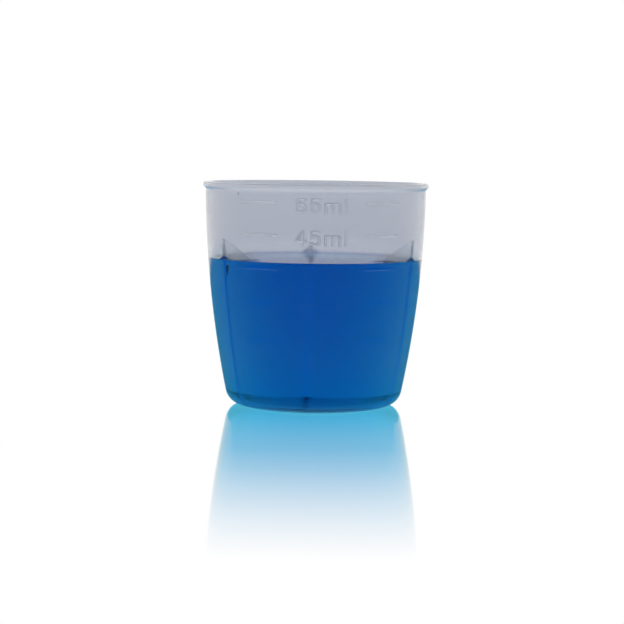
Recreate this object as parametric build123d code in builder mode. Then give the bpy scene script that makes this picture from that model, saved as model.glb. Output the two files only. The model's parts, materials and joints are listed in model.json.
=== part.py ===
from build123d import *
import os
from math import asin, cos, degrees, pi, radians, sin, sqrt, tan

# Dosing cup of natural polypropylene, part filled with a blue liquid.
# Millimetres. The foot stands on z = 0 and the cup's axis is +Z.
# The graduations face -Y, between two of the three inner ribs. The third rib is at +Y.

# Outer form
cup_height = 47.0
rim_radius = 23.25          # outer face of the wall, carried up to the rim
rim_draft = 0.26            # lean of the wall at the rim, in degrees
side_curve = 224.0          # radius of the one long curve down the side
foot_corner = 3.73          # outer radius between the side and the foot
wall = 0.9
floor_thickness = 1.0
floor_corner = 3.0          # radius between the floor and the inside of the wall

# Lip round the rim
lip_overhang = 0.55
lip_face = 0.9              # upright outer face of the lip
lip_slope = 0.55            # height of its slanting underside
rim_bevel = 0.25            # at the outer and the inner edge of the rim

# Foot ring, shallow recess inside it, and the trimmed gate in the middle
foot_ring = 2.6             # width of the flat that the cup stands on
recess_depth = 0.4
recess_slope = 0.4          # how far the side of the recess leans
gate_radius = 1.1
gate_height = 0.25

# Three thin ribs inside, with sloping tops
rib_count = 3
rib_reach = 7.3             # how far a rib stands in from the wall at its peak
rib_peak = 35.5             # height at which a rib's top runs out into the wall
rib_top_angle = 36.0        # fall of its top towards the axis, in degrees
rib_nose = 0.7              # thickness at the inner edge
rib_root = 1.1              # thickness where a rib meets the wall

# Graduations: a pair of short raised lines for each volume, left and right of its numerals
first_mark = 15             # millilitres
mark_step = 10              # millilitres
mark_margin = 3.0           # bare wall kept above the highest line
mark_from = 23.5            # degrees either side of the middle
mark_to = 45.0
mark_stand = 0.22           # how far a line stands off the wall
mark_base = 0.6             # its thickness at the wall
mark_crest = 0.3            # its thickness at the crest

# Liquid
liquid_level = 30.6         # flat middle of the surface
meniscus_rise = 0.7         # how far the surface climbs at the wall
meniscus_reach = 2.5        # how far from the wall it starts to climb

# How far cutting and joining shapes run past the faces that they have to cross
overrun = 0.5
core_top = cup_height + overrun

# The side is one arc, tangent to the foot corner. Its centre lies far off on the other side.
front = -90.0               # direction of -Y, in degrees from +X
curve_x = rim_radius - side_curve * cos(radians(rim_draft))
curve_z = cup_height + side_curve * sin(radians(rim_draft))
floor_height = recess_depth + floor_thickness
inner_curve = side_curve - wall


def side_radius(height, curve=side_curve):
    """Distance from the axis to the side's curve at a height; inner_curve gives the inside."""
    return curve_x + sqrt(curve**2 - (curve_z - height) ** 2)


def corner(curve, radius, bottom):
    """Centre of the round that joins a side curve to a flat bottom, and the side's angle there."""
    angle = asin((curve_z - bottom - radius) / (curve - radius))
    return (curve_x + (curve - radius) * cos(angle), bottom + radius), degrees(angle)


foot_centre, foot_angle = corner(side_curve, foot_corner, 0)
floor_centre, floor_angle = corner(inner_curve, floor_corner, floor_height)
floor_corner_top = floor_centre[1] - floor_corner * sin(radians(floor_angle))
peak_radius = side_radius(rib_peak, inner_curve)
nose_radius = peak_radius - rib_reach
nose_height = rib_peak - rib_reach * tan(radians(rib_top_angle))


def inner_radius(height):
    """Inside radius of the cup at a height, through the round at the floor."""
    if height < floor_corner_top:
        return floor_centre[0] + sqrt(floor_corner**2 - (floor_centre[1] - height) ** 2)
    return side_radius(height, inner_curve)


def rib_thickness(radius):
    """Thickness of a rib at a distance from the axis: it tapers evenly to its nose."""
    return rib_nose + (rib_root - rib_nose) * (radius - nose_radius) / rib_reach


def open_area(height):
    """Area of the inside at a height, less the ribs."""
    reach = inner_radius(height)
    rib_start = nose_radius + max(0, height - nose_height) / tan(radians(rib_top_angle))
    rib_length = max(0, reach - rib_start)
    rib_area = rib_length * (rib_thickness(rib_start) + rib_thickness(reach)) / 2
    return pi * reach**2 - rib_count * rib_area


def height_holding(millilitres, slice_height=0.02):
    """Height up to which the cup holds a volume, found by adding up thin slices."""
    height = floor_height
    held = 0.0
    while held < millilitres * 1000:
        held += open_area(height + slice_height / 2) * slice_height
        height += slice_height
    return height


def heights_of_marks():
    """Height of each graduation line by its millilitres, up to the bare wall under the rim."""
    heights = {}
    volume = first_mark
    while (height := height_holding(volume)) < cup_height - mark_margin:
        heights[volume] = height
        volume += mark_step
    return heights


def radial_plane(direction):
    """Upright plane through the axis: x runs out from the axis, y runs up."""
    outward = (cos(radians(direction)), sin(radians(direction)), 0)
    across = (sin(radians(direction)), -cos(radians(direction)), 0)
    return Plane(origin=(0, 0, 0), x_dir=outward, z_dir=across)


# One rib, drawn along +X: a tapering plan with a round nose, cut off by the sloping top
with BuildPart() as rib:
    with BuildSketch(Plane.XY.offset(floor_height - overrun)):
        with BuildLine():
            root_radius = rim_radius + overrun
            nose_centre = nose_radius + rib_nose / 2
            flanks = Polyline(
                (nose_centre, -rib_nose / 2),
                (root_radius, -rib_thickness(root_radius) / 2),
                (root_radius, rib_thickness(root_radius) / 2),
                (nose_centre, rib_nose / 2),
            )
            ThreePointArc(flanks @ 1, (nose_radius, 0), flanks @ 0)
        make_face()
    extrude(amount=cup_height)
    top_normal = (-sin(radians(rib_top_angle)), 0, cos(radians(rib_top_angle)))
    split(bisect_by=Plane(origin=(peak_radius, 0, rib_peak), z_dir=top_normal), keep=Keep.BOTTOM)

# The hollow of the cup as one solid, like the core of its mould: ribs and lines are cut into it
with BuildPart() as core:
    with BuildSketch(Plane.XZ):
        with BuildLine():
            bevel_bottom = cup_height - rim_bevel
            bevel_angle = degrees(asin((curve_z - bevel_bottom) / inner_curve))
            mouth_radius = inner_radius(bevel_bottom) + rim_bevel
            floor_round = CenterArc(floor_centre, floor_corner, -90, 90 - floor_angle)
            inner_side = CenterArc((curve_x, curve_z), inner_curve, -floor_angle, floor_angle - bevel_angle)
            Polyline(
                inner_side @ 1,
                (mouth_radius, cup_height),
                (mouth_radius, core_top),
                (0, core_top),
                (0, floor_height),
                floor_round @ 0,
            )
        make_face()
    revolve(axis=Axis.Z)
    with PolarLocations(0, rib_count, start_angle=front + 180 / rib_count):
        add(rib.part, mode=Mode.SUBTRACT)
    for volume, mark_height in heights_of_marks().items():
        print(f"{volume} ml line at {mark_height:.2f} mm")
        mark_wall = inner_radius(mark_height)
        for line_start in (front - mark_to, front + mark_from):
            with BuildSketch(radial_plane(line_start)):
                with BuildLine():
                    Polyline(
                        (mark_wall + overrun, mark_height - mark_base / 2),
                        (mark_wall, mark_height - mark_base / 2),
                        (mark_wall - mark_stand, mark_height - mark_crest / 2),
                        (mark_wall - mark_stand, mark_height + mark_crest / 2),
                        (mark_wall, mark_height + mark_base / 2),
                        (mark_wall + overrun, mark_height + mark_base / 2),
                        close=True,
                    )
                make_face()
            revolve(axis=Axis.Z, revolution_arc=mark_to - mark_from, mode=Mode.SUBTRACT)

# The cup: one moulding, its outer form less the hollow
with BuildPart() as cup:
    with BuildSketch(Plane.XZ):
        with BuildLine():
            lip_bottom = cup_height - lip_face - lip_slope
            lip_angle = degrees(asin((curve_z - lip_bottom) / side_curve))
            foot_round = CenterArc(foot_centre, foot_corner, -90, 90 - foot_angle)
            side = CenterArc((curve_x, curve_z), side_curve, -foot_angle, foot_angle - lip_angle)
            lip_radius = rim_radius + lip_overhang
            recess_radius = foot_centre[0] - foot_ring
            Polyline(
                side @ 1,
                (lip_radius, cup_height - lip_face),
                (lip_radius, cup_height - rim_bevel),
                (lip_radius - rim_bevel, cup_height),
                (0, cup_height),
                (0, recess_depth),
                (recess_radius - recess_slope, recess_depth),
                (recess_radius, 0),
                foot_round @ 0,
            )
        make_face()
    revolve(axis=Axis.Z)
    add(core.part, mode=Mode.SUBTRACT)
    with Locations((0, 0, recess_depth)):
        Cylinder(gate_radius, gate_height, align=(Align.CENTER, Align.CENTER, Align.MAX))

# The liquid: the lower end of the hollow, with its surface drawn up a little at the wall
with BuildPart() as blue_liquid:
    add(core.part)
    contact_height = liquid_level + meniscus_rise
    contact_radius = inner_radius(contact_height)
    with BuildSketch(Plane.XZ):
        with BuildLine():
            surface_curve = (meniscus_reach**2 + meniscus_rise**2) / (2 * meniscus_rise)
            climb = degrees(asin(meniscus_reach / surface_curve))
            surface_centre = (contact_radius - meniscus_reach, liquid_level + surface_curve)
            meniscus = CenterArc(surface_centre, surface_curve, -90, climb)
            Polyline(
                meniscus @ 1,
                (rim_radius, contact_height),
                (rim_radius, core_top + overrun),
                (0, core_top + overrun),
                (0, liquid_level),
                meniscus @ 0,
            )
        make_face()
    revolve(axis=Axis.Z, mode=Mode.SUBTRACT)

cup.part.label = "cup"
blue_liquid.part.label = "blue_liquid"
os.makedirs("parts", exist_ok=True)
export_step(cup.part, "parts/cup.step")
export_step(blue_liquid.part, "parts/blue_liquid.step")

print(f"cup {cup.part.volume / 1000:.2f} cm3, liquid {blue_liquid.part.volume / 1000:.2f} cm3")
print(f"rib nose at radius {nose_radius:.2f}, height {nose_height:.2f}; foot radius {foot_centre[0]:.2f}")
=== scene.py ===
# %% [markdown]
# # A dosing cup, part filled with a blue liquid
#
# The real thing is one injection moulding in natural polypropylene: a curved, tapering wall with a
# small lip, three thin ribs inside and raised millilitre lines. A dose of clear blue liquid stands
# in it. The solids come from the CAD model in metres, so every piece here is placed by the same
# sizes and nothing has to be fitted by eye.

# %% Load the frame
import json
import math

import bpy
import numpy as np
from mathutils import Matrix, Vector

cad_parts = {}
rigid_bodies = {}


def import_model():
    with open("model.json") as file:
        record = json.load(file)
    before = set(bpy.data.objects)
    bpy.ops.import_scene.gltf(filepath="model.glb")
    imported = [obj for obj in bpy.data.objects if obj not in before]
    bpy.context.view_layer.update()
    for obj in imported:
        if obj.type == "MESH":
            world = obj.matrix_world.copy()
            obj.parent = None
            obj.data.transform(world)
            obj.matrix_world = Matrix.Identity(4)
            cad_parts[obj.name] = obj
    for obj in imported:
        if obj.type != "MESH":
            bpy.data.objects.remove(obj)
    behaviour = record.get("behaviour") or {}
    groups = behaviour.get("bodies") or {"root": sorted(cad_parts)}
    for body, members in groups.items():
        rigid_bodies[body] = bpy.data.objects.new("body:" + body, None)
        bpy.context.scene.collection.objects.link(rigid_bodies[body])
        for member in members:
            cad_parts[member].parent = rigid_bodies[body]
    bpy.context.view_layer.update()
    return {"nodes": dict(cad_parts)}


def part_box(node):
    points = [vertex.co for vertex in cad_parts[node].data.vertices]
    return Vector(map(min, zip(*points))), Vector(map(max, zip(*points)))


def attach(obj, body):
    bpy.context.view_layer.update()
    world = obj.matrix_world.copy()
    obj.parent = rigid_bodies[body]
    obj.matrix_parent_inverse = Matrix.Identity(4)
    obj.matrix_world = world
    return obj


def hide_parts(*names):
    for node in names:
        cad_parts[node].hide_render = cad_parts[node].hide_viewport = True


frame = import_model()
scene = bpy.context.scene

# %% [markdown]
# ## The sizes that the pieces share
#
# The side of the cup is one long arc, and the round at the floor is a short arc that touches it.
# With the same few radii as the CAD model, a formula gives the inside of the wall at any height, so
# the liquid and the numerals follow the wall exactly. Measuring points off the imported mesh would
# work too, but it would copy that mesh's facets.

# %% Inside of the cup
mm = 0.001
cup_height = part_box("cup")[1].z
rim_radius = 23.25 * mm
rim_draft = math.radians(0.26)
side_curve = 224.0 * mm
wall = 0.9 * mm
floor_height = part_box("blue_liquid")[0].z
floor_corner = 3.0 * mm

curve_x = rim_radius - side_curve * math.cos(rim_draft)
curve_z = cup_height + side_curve * math.sin(rim_draft)
inner_curve = side_curve - wall
floor_angle = math.asin((curve_z - floor_height - floor_corner) / (inner_curve - floor_corner))
floor_centre_x = curve_x + (inner_curve - floor_corner) * math.cos(floor_angle)
floor_centre_z = floor_height + floor_corner
floor_corner_top = floor_centre_z - floor_corner * math.sin(floor_angle)


def inner_radius(height):
    """Inside radius of the wall at a height, through the round at the floor."""
    if height < floor_corner_top:
        drop = min(floor_centre_z - height, floor_corner)
        return floor_centre_x + math.sqrt(floor_corner**2 - drop**2)
    return curve_x + math.sqrt(inner_curve**2 - (curve_z - height) ** 2)


print("inside radius at the rim, mm:", round(inner_radius(cup_height) / mm, 2))

# %% Ribs and heights of the graduation lines
front = math.radians(-90)
rib_directions = [front + math.radians(angle) for angle in (60, 180, 300)]
rib_peak = 35.5 * mm
rib_reach = 7.3 * mm
rib_nose = 0.7 * mm
rib_root = 1.1 * mm
peak_radius = inner_radius(rib_peak)
nose_radius = peak_radius - rib_reach

mark_heights = {15: 15.20 * mm, 25: 22.90 * mm, 35: 30.00 * mm, 45: 36.70 * mm, 55: 43.16 * mm}


def rib_thickness(radius):
    """Thickness of a rib at a distance from the axis."""
    return rib_nose + (rib_root - rib_nose) * (radius - nose_radius) / rib_reach


print("rib nose radius, mm:", round(nose_radius / mm, 2))

# %% [markdown]
# ## The camera
#
# The photograph was taken with a long lens from a little above the rim. The lens, the distance and
# the tilt were worked out from the outline of the cup. The camera turns round the cup's axis
# instead of the cup turning on the floor, because the cup has to stay where the CAD model has it.

# %% Camera
camera_distance = 408.35 * mm
camera_height = 55.35 * mm
cup_turn = math.radians(3.0)
look_down = math.radians(5.015)
aim_off = math.radians(0.071)
camera_roll = math.radians(0.722)

camera_data = bpy.data.cameras.new("photo_camera")
camera_data.lens = 111.39
camera_data.sensor_width = 36
camera = bpy.data.objects.new("photo_camera", camera_data)
scene.collection.objects.link(camera)
turn = Matrix.Rotation(aim_off - cup_turn, 4, "Z")
tip = Matrix.Rotation(math.radians(90) - look_down, 4, "X")
roll = Matrix.Rotation(camera_roll, 4, "Z")
place = Matrix.Translation(
    (-camera_distance * math.sin(cup_turn), -camera_distance * math.cos(cup_turn), camera_height)
)
camera.matrix_world = place @ turn @ tip @ roll
scene.camera = camera
print("camera at, mm:", [round(v / mm, 1) for v in camera.location])


# %% [markdown]
# ## Small helpers for nodes
#
# A material is a tree of nodes. A few helpers add a node with its settings, do sums with node
# outputs and start a material, so that each finish below reads as a short recipe.


# %% Node helpers
def add_node(tree, kind, **settings):
    """A node of that kind. A setting is one of the node's own properties, or else one of its inputs."""
    node = tree.nodes.new(kind)
    for name, value in settings.items():
        if hasattr(node, name):
            setattr(node, name, value)
        else:
            node.inputs[name.replace("_", " ")].default_value = value
    return node


def new_material(name):
    """A material, its node tree and the tree's output."""
    material = bpy.data.materials.new(name)
    material.use_nodes = True
    tree = material.node_tree
    tree.nodes.clear()
    return material, tree, tree.nodes.new("ShaderNodeOutputMaterial")


def calculate(tree, operation, *values):
    """The output of a Math node. Each value is a number or another node's output."""
    node = add_node(tree, "ShaderNodeMath", operation=operation)
    for socket, value in zip(node.inputs, values):
        if isinstance(value, bpy.types.NodeSocket):
            tree.links.new(value, socket)
        else:
            socket.default_value = value
    return node.outputs[0]


def ramp(tree, value, start, end, before=0.0, after=1.0):
    """One value before start, another after end, and a smooth change between them."""
    node = add_node(tree, "ShaderNodeMapRange", interpolation_type="SMOOTHSTEP")
    for name, limit in (("From Min", start), ("From Max", end), ("To Min", before), ("To Max", after)):
        node.inputs[name].default_value = limit
    tree.links.new(value, node.inputs["Value"])
    return node.outputs[0]


def mix_colours(tree, share, first, second):
    """The first colour where share is 0 and the second where it is 1."""
    node = add_node(tree, "ShaderNodeMix", data_type="RGBA")
    tree.links.new(share, node.inputs[0])
    for socket, colour in ((node.inputs[6], first), (node.inputs[7], second)):
        if isinstance(colour, bpy.types.NodeSocket):
            tree.links.new(colour, socket)
        else:
            socket.default_value = colour
    return node.outputs[2]


def mix_shaders(tree, share, first, second):
    """The first shader where share is 0 and the second where it is 1."""
    node = tree.nodes.new("ShaderNodeMixShader")
    for socket, value in zip(node.inputs, (share, first, second)):
        tree.links.new(value, socket)
    return node.outputs[0]


def mesh_object(name, vertices, faces):
    """A new object with smooth shading, from lists of points and faces."""
    mesh = bpy.data.meshes.new(name)
    mesh.from_pydata([tuple(v) for v in vertices], [], [tuple(f) for f in faces])
    mesh.validate()
    mesh.update()
    mesh.polygons.foreach_set("use_smooth", [True] * len(mesh.polygons))
    made = bpy.data.objects.new(name, mesh)
    scene.collection.objects.link(made)
    return made


print("helpers ready")

# %% [markdown]
# ## Light and floor
#
# The photograph is lit softly from behind and below, like a small product on a glossy light table. A
# white world and a glowing floor do that without a lamp whose reflection would show in the
# plastic. The sky overhead is darker than the horizon, which gives the edges of clear plastic
# their thin dark lines. The table mirrors the foot of the cup, and fades further off. What it doesn't
# mirror it glows, so it stays white away from the cup. For rays that come from the cup its glow is
# painted blue close by: a painted pool of light, in place of the light that the liquid lets through.

# %% Studio light
horizon_light = 1.0
overhead_light = 0.6
dimmer_from, dimmest_from = 0.35, 0.95      # height in the sky, as a share of straight up

world = bpy.data.worlds.new("soft_studio")
scene.world = world
world.use_nodes = True
tree = world.node_tree
tree.nodes.clear()
place_in_sky = tree.nodes.new("ShaderNodeTexCoord")
height_in_sky = tree.nodes.new("ShaderNodeSeparateXYZ")
soft_light = add_node(tree, "ShaderNodeBackground", Color=(1, 1, 1, 1))
world_output = tree.nodes.new("ShaderNodeOutputWorld")
tree.links.new(place_in_sky.outputs["Generated"], height_in_sky.inputs[0])
up = height_in_sky.outputs["Z"]
brightness = ramp(tree, up, dimmer_from, dimmest_from, horizon_light, overhead_light)
tree.links.new(brightness, soft_light.inputs["Strength"])
tree.links.new(soft_light.outputs[0], world_output.inputs["Surface"])
scene.view_settings.view_transform = "Standard"
print("light at the horizon and overhead:", horizon_light, overhead_light)

# %% Floor
floor_size = 6.0
floor_gap = 0.02 * mm
white = (1, 1, 1, 1)

# What the table mirrors, by distance from the cup's axis in mm
mirror_fade = {0: 0.95, 20: 0.94, 63: 0.8, 84: 0.66, 112: 0.4, 135: 0.17, 155: 0.0}
fade_end = max(mirror_fade)
mirror_tint = (1.0, 0.68, 0.5)

# Painted blue pool of light on the table round the cup, which only the cup sees: where it turns back to
# white
painted_blue_glow = (0.05, 0.34, 0.56, 1)
painted_glow_reach_in_mirror = (290 * mm, 360 * mm)
painted_glow_reach_through_plastic = (18 * mm, 50 * mm)

floor_corners = [(-1, -1), (1, -1), (1, 1), (-1, 1)]
floor = mesh_object(
    "studio_floor",
    [(x * floor_size / 2, y * floor_size / 2, -floor_gap) for x, y in floor_corners],
    [(0, 1, 2, 3)],
)
print("light table,", floor_size, "m across")

# %% Finish of the floor
material, tree, output = new_material("glossy_light_table")
where = tree.nodes.new("ShaderNodeTexCoord")
length = add_node(tree, "ShaderNodeVectorMath", operation="LENGTH")
tree.links.new(where.outputs["Object"], length.inputs[0])
from_axis = length.outputs["Value"]
fade = tree.nodes.new("ShaderNodeValToRGB")
tree.links.new(calculate(tree, "DIVIDE", from_axis, fade_end * mm), fade.inputs[0])
stops = fade.color_ramp.elements
stops.remove(stops[1])
for distance, share in mirror_fade.items():
    stop = stops.new(distance / fade_end) if distance else stops[0]
    stop.color = (share, share, share, 1)
tinted = add_node(tree, "ShaderNodeVectorMath", operation="MULTIPLY")
tinted.inputs[1].default_value = mirror_tint
shown = add_node(tree, "ShaderNodeVectorMath", operation="SCALE")
rest = add_node(tree, "ShaderNodeVectorMath", operation="SUBTRACT")
rest.inputs[0].default_value = white[:3]
mirror = add_node(tree, "ShaderNodeBsdfGlossy", Roughness=0.04)
glow = tree.nodes.new("ShaderNodeEmission")
both = tree.nodes.new("ShaderNodeAddShader")
ray = tree.nodes.new("ShaderNodeLightPath")
seen = ray.outputs["Is Camera Ray"]
tree.links.new(fade.outputs[0], tinted.inputs[0])
tree.links.new(tinted.outputs[0], shown.inputs[0])
tree.links.new(seen, shown.inputs["Scale"])
tree.links.new(shown.outputs[0], rest.inputs[1])
tree.links.new(shown.outputs[0], mirror.inputs["Color"])
mirrored = calculate(tree, "GREATER_THAN", ray.outputs["Is Glossy Ray"], ray.outputs["Is Transmission Ray"])
# Painted blue glow on the table, for rays from the cup: in its mirror and seen through the plastic
mirrored_painted_glow = mix_colours(tree, ramp(tree, from_axis, *painted_glow_reach_in_mirror), painted_blue_glow, white)
painted_glow_seen_through = mix_colours(tree, ramp(tree, from_axis, *painted_glow_reach_through_plastic), painted_blue_glow, white)
painted_glow_for_cup_rays = mix_colours(tree, mirrored, painted_glow_seen_through, mirrored_painted_glow)
tree.links.new(mix_colours(tree, seen, painted_glow_for_cup_rays, rest.outputs[0]), glow.inputs["Color"])
tree.links.new(glow.outputs[0], both.inputs[0])
tree.links.new(mirror.outputs[0], both.inputs[1])
tree.links.new(both.outputs[0], output.inputs["Surface"])
floor.data.materials.append(material)
print("mirror fades out at, mm:", fade_end)

# %% [markdown]
# ## Milky polypropylene
#
# Natural polypropylene is clear but slightly milky: the wall greys what is behind it, with a touch of
# lavender, and its moulded surface has a faint wave from the flow of the melt. The Principled shader's
# transmission does the clear part and a little plain colour does the milk. The wall's faces mirror
# only a share of what they should, because each pair of faces so close together would else add false
# reflections. The ribs keep nearly all of it, and more milk lights up their blades above the liquid.
#
# Where the ribs stand in liquid, what counts for the bending of light is the ratio of the two
# indices. A syrup comes close to the plastic, so another shader with a ratio near one takes over
# below the surface and the ribs nearly vanish there, as they do in the photograph. Wall and ribs are
# one moulding with one material, so formulas tell them apart: the same two arcs as in the CAD model
# say how far a point lies inwards of the wall.

# %% Where the wall ends and a rib begins
wet_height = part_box("blue_liquid")[1].z


def other_side(tree, radius, along):
    """The other short side of a right triangle with that long side."""
    square = calculate(tree, "MULTIPLY", along, along)
    return calculate(tree, "SQRT", calculate(tree, "SUBTRACT", radius**2, square))


def inward_of_wall(tree, where, height):
    """How far a point lies inwards of the wall's inner face."""
    below_centre = calculate(tree, "SUBTRACT", curve_z, height)
    side = calculate(tree, "ADD", other_side(tree, inner_curve, below_centre), curve_x)
    fall = calculate(tree, "MINIMUM", calculate(tree, "SUBTRACT", floor_centre_z, height), floor_corner)
    corner = calculate(tree, "ADD", other_side(tree, floor_corner, fall), floor_centre_x)
    face = tree.nodes.new("ShaderNodeMix")
    tree.links.new(calculate(tree, "GREATER_THAN", height, floor_corner_top), face.inputs[0])
    tree.links.new(corner, face.inputs[2])
    tree.links.new(side, face.inputs[3])
    flat = add_node(tree, "ShaderNodeVectorMath", operation="MULTIPLY")
    flat.inputs[1].default_value = (1, 1, 0)
    radius = add_node(tree, "ShaderNodeVectorMath", operation="LENGTH")
    tree.links.new(where, flat.inputs[0])
    tree.links.new(flat.outputs[0], radius.inputs[0])
    return calculate(tree, "SUBTRACT", face.outputs[0], radius.outputs["Value"])


print("wall is wet up to, mm:", round(wet_height / mm, 2))

# %% Plastic
plastic_index = 1.49
wetted_index = 1.04
plastic_roughness = 0.1
wall_mirror = 0.15
rib_mirror = 0.9
clear_tint = (0.94, 0.965, 0.985, 1)


def flow_lines(tree, where):
    """A faint upright wave, as the melt leaves it when it fills the mould."""
    stretch = tree.nodes.new("ShaderNodeMapping")
    stretch.inputs["Scale"].default_value = (1.0, 1.0, 0.25)
    flow = add_node(tree, "ShaderNodeTexNoise", Scale=90.0, Detail=2.0)
    wave = add_node(tree, "ShaderNodeBump", Strength=0.15)
    wave.inputs["Distance"].default_value = 0.05 * mm
    tree.links.new(where, stretch.inputs["Vector"])
    tree.links.new(stretch.outputs[0], flow.inputs["Vector"])
    tree.links.new(flow.outputs[0], wave.inputs["Height"])
    return wave.outputs[0]


def clear_shader(tree, index, roughness, tint, mirror):
    """A Principled shader that lets light through and mirrors that share of what it should."""
    shader = add_node(tree, "ShaderNodeBsdfPrincipled", IOR=index, Roughness=roughness)
    shader.inputs["Transmission Weight"].default_value = 1.0
    shader.inputs["Base Color"].default_value = tint
    shader.inputs["Specular Tint"].default_value = (mirror, mirror, mirror, 1)
    return shader


def clear_plastic(tree, index, wave, mirror=wall_mirror):
    """Plastic without milk, with the flow lines on it."""
    shader = clear_shader(tree, index, plastic_roughness, clear_tint, mirror)
    tree.links.new(wave, shader.inputs["Normal"])
    return shader


def spot_on_wall(tree, where, place, half_width, half_height):
    """1 in the middle of a small soft-edged spot and 0 outside it."""
    offset = add_node(tree, "ShaderNodeVectorMath", operation="SUBTRACT")
    offset.inputs[1].default_value = place
    scaled = add_node(tree, "ShaderNodeVectorMath", operation="MULTIPLY")
    scaled.inputs[1].default_value = (1 / half_width, 1 / half_width, 1 / half_height)
    length = add_node(tree, "ShaderNodeVectorMath", operation="LENGTH")
    tree.links.new(where, offset.inputs[0])
    tree.links.new(offset.outputs[0], scaled.inputs[0])
    tree.links.new(scaled.outputs[0], length.inputs[0])
    return ramp(tree, length.outputs["Value"], 0.5, 1.0, before=1.0, after=0.0)


def see_through_for_lamps(tree, shader, output):
    """For light on its way to the floor the plastic is plainly clear, which keeps shadows soft."""
    clear = add_node(tree, "ShaderNodeBsdfTransparent", Color=(0.86, 0.87, 0.9, 1))
    ray = tree.nodes.new("ShaderNodeLightPath")
    surface = mix_shaders(tree, ray.outputs["Is Shadow Ray"], shader, clear.outputs[0])
    tree.links.new(surface, output.inputs["Surface"])


print("indices of refraction, in air and in the liquid:", plastic_index, wetted_index)

# %% Wall of the cup
wall_tint = (0.62, 0.642, 0.697, 1)
wetted_tint = (0.82, 0.84, 0.8, 1)
wet_edge = 0.5 * mm                         # blur between the two, up and down
clearer_from, clearest_from = 0.25 * mm, 0.8 * mm
wall_milk = 0.2
milk_rise = 5 * mm                          # the milk comes in over this height above the liquid
rim_milk = 0.3                              # more of it in the lip
rim_milk_from, rim_milk_full = cup_height - 2.2 * mm, cup_height - 1.2 * mm

material, tree, output = new_material("milky_polypropylene")
where = tree.nodes.new("ShaderNodeTexCoord").outputs["Object"]
split = tree.nodes.new("ShaderNodeSeparateXYZ")
tree.links.new(where, split.inputs[0])
height = split.outputs["Z"]
inward = inward_of_wall(tree, where, height)
wave = flow_lines(tree, where)

dry = clear_plastic(tree, plastic_index, wave)
deep = ramp(tree, inward, clearer_from, clearest_from)
dryness = ramp(tree, height, wet_height - wet_edge, wet_height + wet_edge)
tint = mix_colours(tree, deep, mix_colours(tree, dryness, wetted_tint, wall_tint), clear_tint)
milk = ramp(tree, height, rim_milk_from, rim_milk_full, wall_milk, wall_milk + rim_milk)
milk = calculate(tree, "MULTIPLY", milk, ramp(tree, height, wet_height, wet_height + milk_rise))
print("wall milk and tint:", wall_milk, wall_tint)

# %% Speck near the rim and faint streak low on the front
speck_place = (-16.65 * mm, -16.22 * mm, 44.85 * mm)
speck_radius = 0.3 * mm
speck_colour = (0.25, 0.26, 0.3, 1)
speck_cover = 0.5
streak_place = (-1.35 * mm, -19.3 * mm, 9.5 * mm)
streak_half_width = 0.35 * mm
streak_half_height = 2.8 * mm
streak_cover = 0.12

speck = spot_on_wall(tree, where, speck_place, speck_radius, speck_radius)
streak = spot_on_wall(tree, where, streak_place, streak_half_width, streak_half_height)
tree.links.new(mix_colours(tree, speck, tint, speck_colour), dry.inputs["Base Color"])
milk = calculate(tree, "ADD", milk, calculate(tree, "MULTIPLY", speck, speck_cover))
milk = calculate(tree, "ADD", milk, calculate(tree, "MULTIPLY", streak, streak_cover))
tree.links.new(calculate(tree, "SUBTRACT", 1.0, milk), dry.inputs["Transmission Weight"])
print("speck", round(speck_radius / mm, 2), "mm, streak", round(2 * streak_half_height / mm, 2), "mm")

# %% Ribs in air and in the liquid
rib_milk = 0.3
rib_from = 0.3 * mm                         # inwards of the wall
wetted_from = 0.035 * mm                    # inwards of the wall
floor_margin = 0.05 * mm
surface_margin = 0.15 * mm

ribs = clear_plastic(tree, plastic_index, wave, rib_mirror)
ribs.inputs["Transmission Weight"].default_value = 1 - rib_milk
is_rib = calculate(tree, "GREATER_THAN", inward, rib_from)
in_air = mix_shaders(tree, is_rib, dry.outputs[0], ribs.outputs[0])

wetted = clear_plastic(tree, wetted_index, wave)
inside = calculate(tree, "GREATER_THAN", inward, wetted_from)
above_floor = calculate(tree, "GREATER_THAN", height, floor_height + floor_margin)
below_surface = calculate(tree, "LESS_THAN", height, wet_height - surface_margin)
in_liquid = calculate(tree, "MULTIPLY", inside, calculate(tree, "MULTIPLY", above_floor, below_surface))
see_through_for_lamps(tree, mix_shaders(tree, in_liquid, in_air, wetted.outputs[0]), output)

cup = frame["nodes"]["cup"]
cup.data.materials.clear()
cup.data.materials.append(material)
print("cup:", len(cup.data.polygons), "faces")

# %% [markdown]
# ## The blue liquid
#
# Liquid in a clear cup needs one trick. A renderer takes every surface to be a step between a solid
# and air, so a wall that only touches the liquid would bend light as if there were air between
# them. The liquid is therefore made very slightly too large, so that its faces run inside the
# plastic. Its body is turned like the cup, and its top climbs a little at the wall and at the ribs, as
# wetting liquid does. It runs on through the ribs, so that its colour does too.

# %% Surface of the liquid
overlap = 0.03 * mm
liquid_level = 30.85 * mm
wall_rise = 0.35 * mm
wall_reach = 3.2 * mm
rib_rise = 0.3 * mm
rib_rise_reach = 2.2 * mm
corner_rise = 0.4 * mm
corner_reach = 2.0 * mm


def climb(distance, rise, reach):
    """How far the surface has climbed at a distance from what it wets."""
    return rise * max(0.0, 1 - max(0.0, distance) / reach) ** 2


def distance_to_ribs(x, y):
    """Distance in plan to the nearest rib, for a point inside the cup."""
    nearest = math.inf
    for direction in rib_directions:
        along = x * math.cos(direction) + y * math.sin(direction)
        aside = abs(y * math.cos(direction) - x * math.sin(direction))
        beyond = max(0.0, nose_radius - along)
        nearest = min(nearest, math.hypot(beyond, max(0.0, aside - rib_thickness(along) / 2)))
    return nearest


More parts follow.
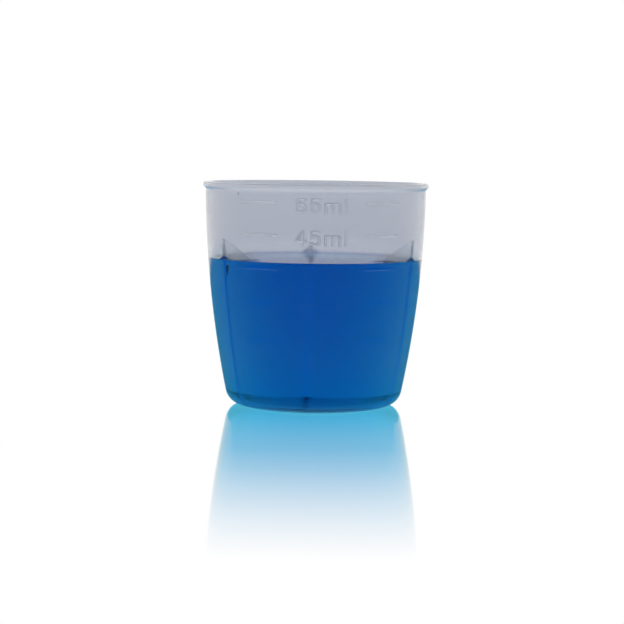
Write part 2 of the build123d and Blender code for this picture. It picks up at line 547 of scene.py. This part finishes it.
def surface_height(x, y):
    """Height of the liquid's surface."""
    to_wall = inner_radius(liquid_level) - math.hypot(x, y)
    to_rib = distance_to_ribs(x, y)
    in_corner = climb(to_wall, 1, corner_reach) * climb(to_rib, 1, corner_reach)
    return (
        liquid_level
        + climb(to_wall, wall_rise, wall_reach)
        + climb(to_rib, rib_rise, rib_rise_reach)
        + corner_rise * in_corner
    )


print("surface climbs to, mm:", round(surface_height(inner_radius(liquid_level), 0) / mm, 2))

# %% Grid of the liquid's body
# Round the axis, in degrees: even steps, and finer ones at the ribs
angles = set(np.round(np.arange(0, 360, 2.0), 3))
for direction in rib_directions:
    middle = math.degrees(direction) % 360
    angles |= set(np.round((middle + np.arange(-8, 8.01, 0.4)) % 360, 3))
angles = np.radians(sorted(angles))

# Along the outline: the flat bottom, the round at the floor, the side and the surface
bottom_rings = np.linspace(1.0, floor_centre_x / mm, 9)[:-1] * mm
corner_steps = np.linspace(0, math.pi / 2 - floor_angle, 12)
side_steps = np.linspace(0, 1, 40)[1:]
surface_radius = inner_radius(liquid_level)
from_wall = [np.arange(0.15, 3.0, 0.15), np.arange(3.0, 9.6, 0.4), np.arange(9.6, 21.0, 1.4)]
top_rings = surface_radius - np.concatenate(from_wall) * mm


def liquid_column(angle):
    """Points of the liquid's outline at one angle, from under the middle round to the top of the middle."""
    points = [(radius, floor_height - overlap) for radius in bottom_rings]
    for step in corner_steps:
        points.append(
            (
                floor_centre_x + (floor_corner + overlap) * math.sin(step),
                floor_centre_z - (floor_corner + overlap) * math.cos(step),
            )
        )
    contact = surface_height(surface_radius * math.cos(angle), surface_radius * math.sin(angle))
    for step in side_steps:
        height = floor_corner_top + step * (contact - floor_corner_top)
        points.append((inner_radius(height) + overlap, height))
    for radius in top_rings:
        points.append((radius, surface_height(radius * math.cos(angle), radius * math.sin(angle))))
    return points


columns = [liquid_column(angle) for angle in angles]
rows = len(columns[0])
print("grid of the liquid:", len(angles), "by", rows)

# %% Body of the liquid
vertices = [
    (radius * math.cos(angle), radius * math.sin(angle), height)
    for angle, column in zip(angles, columns)
    for radius, height in column
]
vertices += [(0, 0, floor_height - overlap), (0, 0, surface_height(0, 0))]
under, over = len(vertices) - 2, len(vertices) - 1
first_top_row = len(bottom_rings) + len(corner_steps) + len(side_steps) - 1
end_of_climb = first_top_row + int((top_rings > surface_radius - wall_reach).sum())
faces, on_climb = [], []
for i in range(len(angles)):
    this, following = i * rows, (i + 1) % len(angles) * rows
    faces += [(this + k, following + k, following + k + 1, this + k + 1) for k in range(rows - 1)]
    faces += [(under, following, this), (over, this + rows - 1, following + rows - 1)]
    on_climb += [int(first_top_row <= k < end_of_climb) for k in range(rows - 1)] + [0, 0]
liquid = mesh_object("liquid", vertices, faces)
edge_angle = math.radians(25)
liquid.data.set_sharp_from_angle(angle=edge_angle)
print("liquid body:", len(faces), "faces")

# %% [markdown]
# ## Colour of the liquid
#
# A clear dye takes light away along its path, so a long way through is deeper in colour than a short
# one. That is absorption in a volume, not colour on the surface: the middle of the cup comes out dark
# and the sides lighter, as in the photograph. Red is gone after a few millimetres.
#
# The faces inside the plastic mirror nothing, or each would add a false reflection. The middle of the
# surface doesn't either: seen from so low it would mirror the lilac of the wall, and the photograph
# shows it paler. Only the ring where the surface climbs at the wall mirrors in full, with a second
# copy of the dye. From above it shows as a darker band.

# %% Dye
liquid_index = 1.333
face_tint = (0.9, 0.97, 1.0, 1)
dye_colour = (0.0, 0.715, 0.9175, 1)
dye_density = 200.0                         # per metre


def dyed_liquid(name, mirror):
    """Clear liquid with dye in it, whose face mirrors that share of what it should."""
    material, tree, output = new_material(name)
    shader = clear_shader(tree, liquid_index, 0.0, face_tint, mirror)
    dye = add_node(tree, "ShaderNodeVolumeAbsorption", Color=dye_colour, Density=dye_density)
    tree.links.new(shader.outputs[0], output.inputs["Surface"])
    tree.links.new(dye.outputs[0], output.inputs["Volume"])
    return material


liquid.data.materials.append(dyed_liquid("clear_blue_dye", mirror=0.0))
liquid.data.materials.append(dyed_liquid("clear_blue_dye_at_the_wall", mirror=1.0))
liquid.data.polygons.foreach_set("material_index", on_climb)
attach(liquid, "root")
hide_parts("blue_liquid")
print("faces on the climbing ring:", sum(on_climb))

# %% [markdown]
# ## Raised numerals
#
# Moulded numerals are cut into the core with a small round cutter, so each stroke stands up as a low
# round ridge. The strokes are drawn as lines and arcs. Over a fine grid, the distance to the nearest
# stroke gives the height of the ridge, and the cells round the strokes are bent on to the wall.

# %% Strokes of the numerals
digit_width = 1.75 * mm
digit_height = 2.6 * mm
stroke_half = 0.22 * mm
numeral_stand = 0.17 * mm
numeral_drop = 0.45 * mm
numeral_sunk = 0.04 * mm
grid_step = 0.07 * mm


def bow(cx, cy, rx, ry, start, end, steps=14):
    """Points along part of an ellipse, in shares of a digit's box."""
    turns = np.radians(np.linspace(start, end, steps + 1))
    return [(cx + rx * math.cos(t), cy + ry * math.sin(t)) for t in turns]


glyphs = {
    "1": (0.62, [[(0.1, 0.78), (0.42, 1.0), (0.42, 0.0)]]),
    "2": (1.0, [bow(0.5, 0.7, 0.46, 0.3, 170, -35) + [(0.02, 0.0), (1.0, 0.0)]]),
    "3": (1.0, [bow(0.47, 0.75, 0.43, 0.25, 150, -90) + bow(0.47, 0.26, 0.5, 0.26, 90, -150)]),
    "4": (1.0, [[(0.72, 0.0), (0.72, 1.0), (0.0, 0.3), (1.0, 0.3)]]),
    "5": (1.0, [[(0.92, 1.0), (0.14, 1.0), (0.06, 0.52)] + bow(0.47, 0.33, 0.5, 0.33, 130, -145)]),
    "m": (
        1.64,
        [
            [(0.0, 0.0), (0.0, 0.68)],
            bow(0.41, 0.4, 0.41, 0.28, 180, 0) + [(0.82, 0.0)],
            bow(1.23, 0.4, 0.41, 0.28, 180, 0) + [(1.64, 0.0)],
        ],
    ),
    "l": (0.0, [[(0.0, 0.0), (0.0, 1.0)]]),
}
glyph_gap = 0.66


def strokes_of(text):
    """Line pieces of a text, centred, in metres."""
    pieces, start = [], 0.0
    for sign in text:
        width, lines = glyphs[sign]
        for line in lines:
            points = [((start + x) * digit_width, (y - 0.5) * digit_height) for x, y in line]
            pieces += zip(points[:-1], points[1:])
        start += width + glyph_gap
    shift = (start - glyph_gap) * digit_width / 2
    return [((a[0] - shift, a[1]), (b[0] - shift, b[1])) for a, b in pieces]


def distance_to_strokes(x, z, pieces):
    """Distance from each grid point to the nearest stroke."""
    nearest = np.full(x.shape, np.inf)
    for (ax, az), (bx, bz) in pieces:
        dx, dz = bx - ax, bz - az
        share = np.clip(((x - ax) * dx + (z - az) * dz) / (dx * dx + dz * dz), 0, 1)
        nearest = np.minimum(nearest, np.hypot(x - ax - share * dx, z - az - share * dz))
    return nearest


print("text width, mm:", round(2 * max(b[0] for a, b in strokes_of("55ml")) / mm, 2))

# %% Numerals on the wall
def raised_text(name, text, middle):
    """Closed ridges along the strokes of a text, on the inside of the wall, middle at that height."""
    pieces = strokes_of(text)
    reach_x = max(abs(p[0]) for piece in pieces for p in piece) + 2 * stroke_half
    reach_z = digit_height / 2 + 2 * stroke_half
    xs = np.arange(-reach_x, reach_x + grid_step, grid_step)
    zs = np.arange(-reach_z, reach_z + grid_step, grid_step)
    x, z = np.meshgrid(xs, zs, indexing="ij")
    ridge = numeral_stand * (1 - (distance_to_strokes(x, z, pieces) / stroke_half) ** 2)
    shown = ridge > -numeral_sunk
    kept = shown[:-1, :-1] | shown[1:, :-1] | shown[1:, 1:] | shown[:-1, 1:]
    used = np.zeros(x.shape, bool)
    for i, j in ((0, 0), (1, 0), (1, 1), (0, 1)):
        used[i : i + kept.shape[0], j : j + kept.shape[1]] |= kept
    number = np.full(x.shape, -1)
    number[used] = np.arange(used.sum())
    vertices = []
    for level in (np.maximum(ridge, -numeral_sunk), np.full(x.shape, -2 * numeral_sunk)):
        for i, j in zip(*np.nonzero(used)):
            height = middle + z[i, j]
            radius = inner_radius(height)
            angle = front + x[i, j] / radius
            radius -= level[i, j]
            vertices.append((radius * math.cos(angle), radius * math.sin(angle), height))
    top, faces, edges = int(used.sum()), [], {}
    for i, j in zip(*np.nonzero(kept)):
        ring = [int(number[a, b]) for a, b in ((i, j), (i, j + 1), (i + 1, j + 1), (i + 1, j))]
        faces.append(ring)
        faces.append([v + top for v in reversed(ring)])
        for a, b in zip(ring, ring[1:] + ring[:1]):
            edges[(a, b)] = True
    faces += [(b, a, a + top, b + top) for a, b in edges if (b, a) not in edges]
    made = mesh_object(name, vertices, faces)
    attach(made, "root")
    return made


def numeral_plastic(name, index):
    """Polished raised plastic."""
    material, tree, output = new_material(name)
    where = tree.nodes.new("ShaderNodeTexCoord").outputs["Object"]
    shader = clear_plastic(tree, index, flow_lines(tree, where))
    see_through_for_lamps(tree, shader.outputs[0], output)
    return material


dry_numerals = numeral_plastic("polypropylene_numerals", plastic_index)
wet_numerals = numeral_plastic("wetted_polypropylene_numerals", wetted_index)
for volume, height in mark_heights.items():
    numerals = raised_text(f"numerals_{volume}_ml", f"{volume}ml", height - numeral_drop)
    wetted = height < wet_height
    numerals.data.materials.append(wet_numerals if wetted else dry_numerals)
    print(numerals.name, len(numerals.data.polygons), "faces")
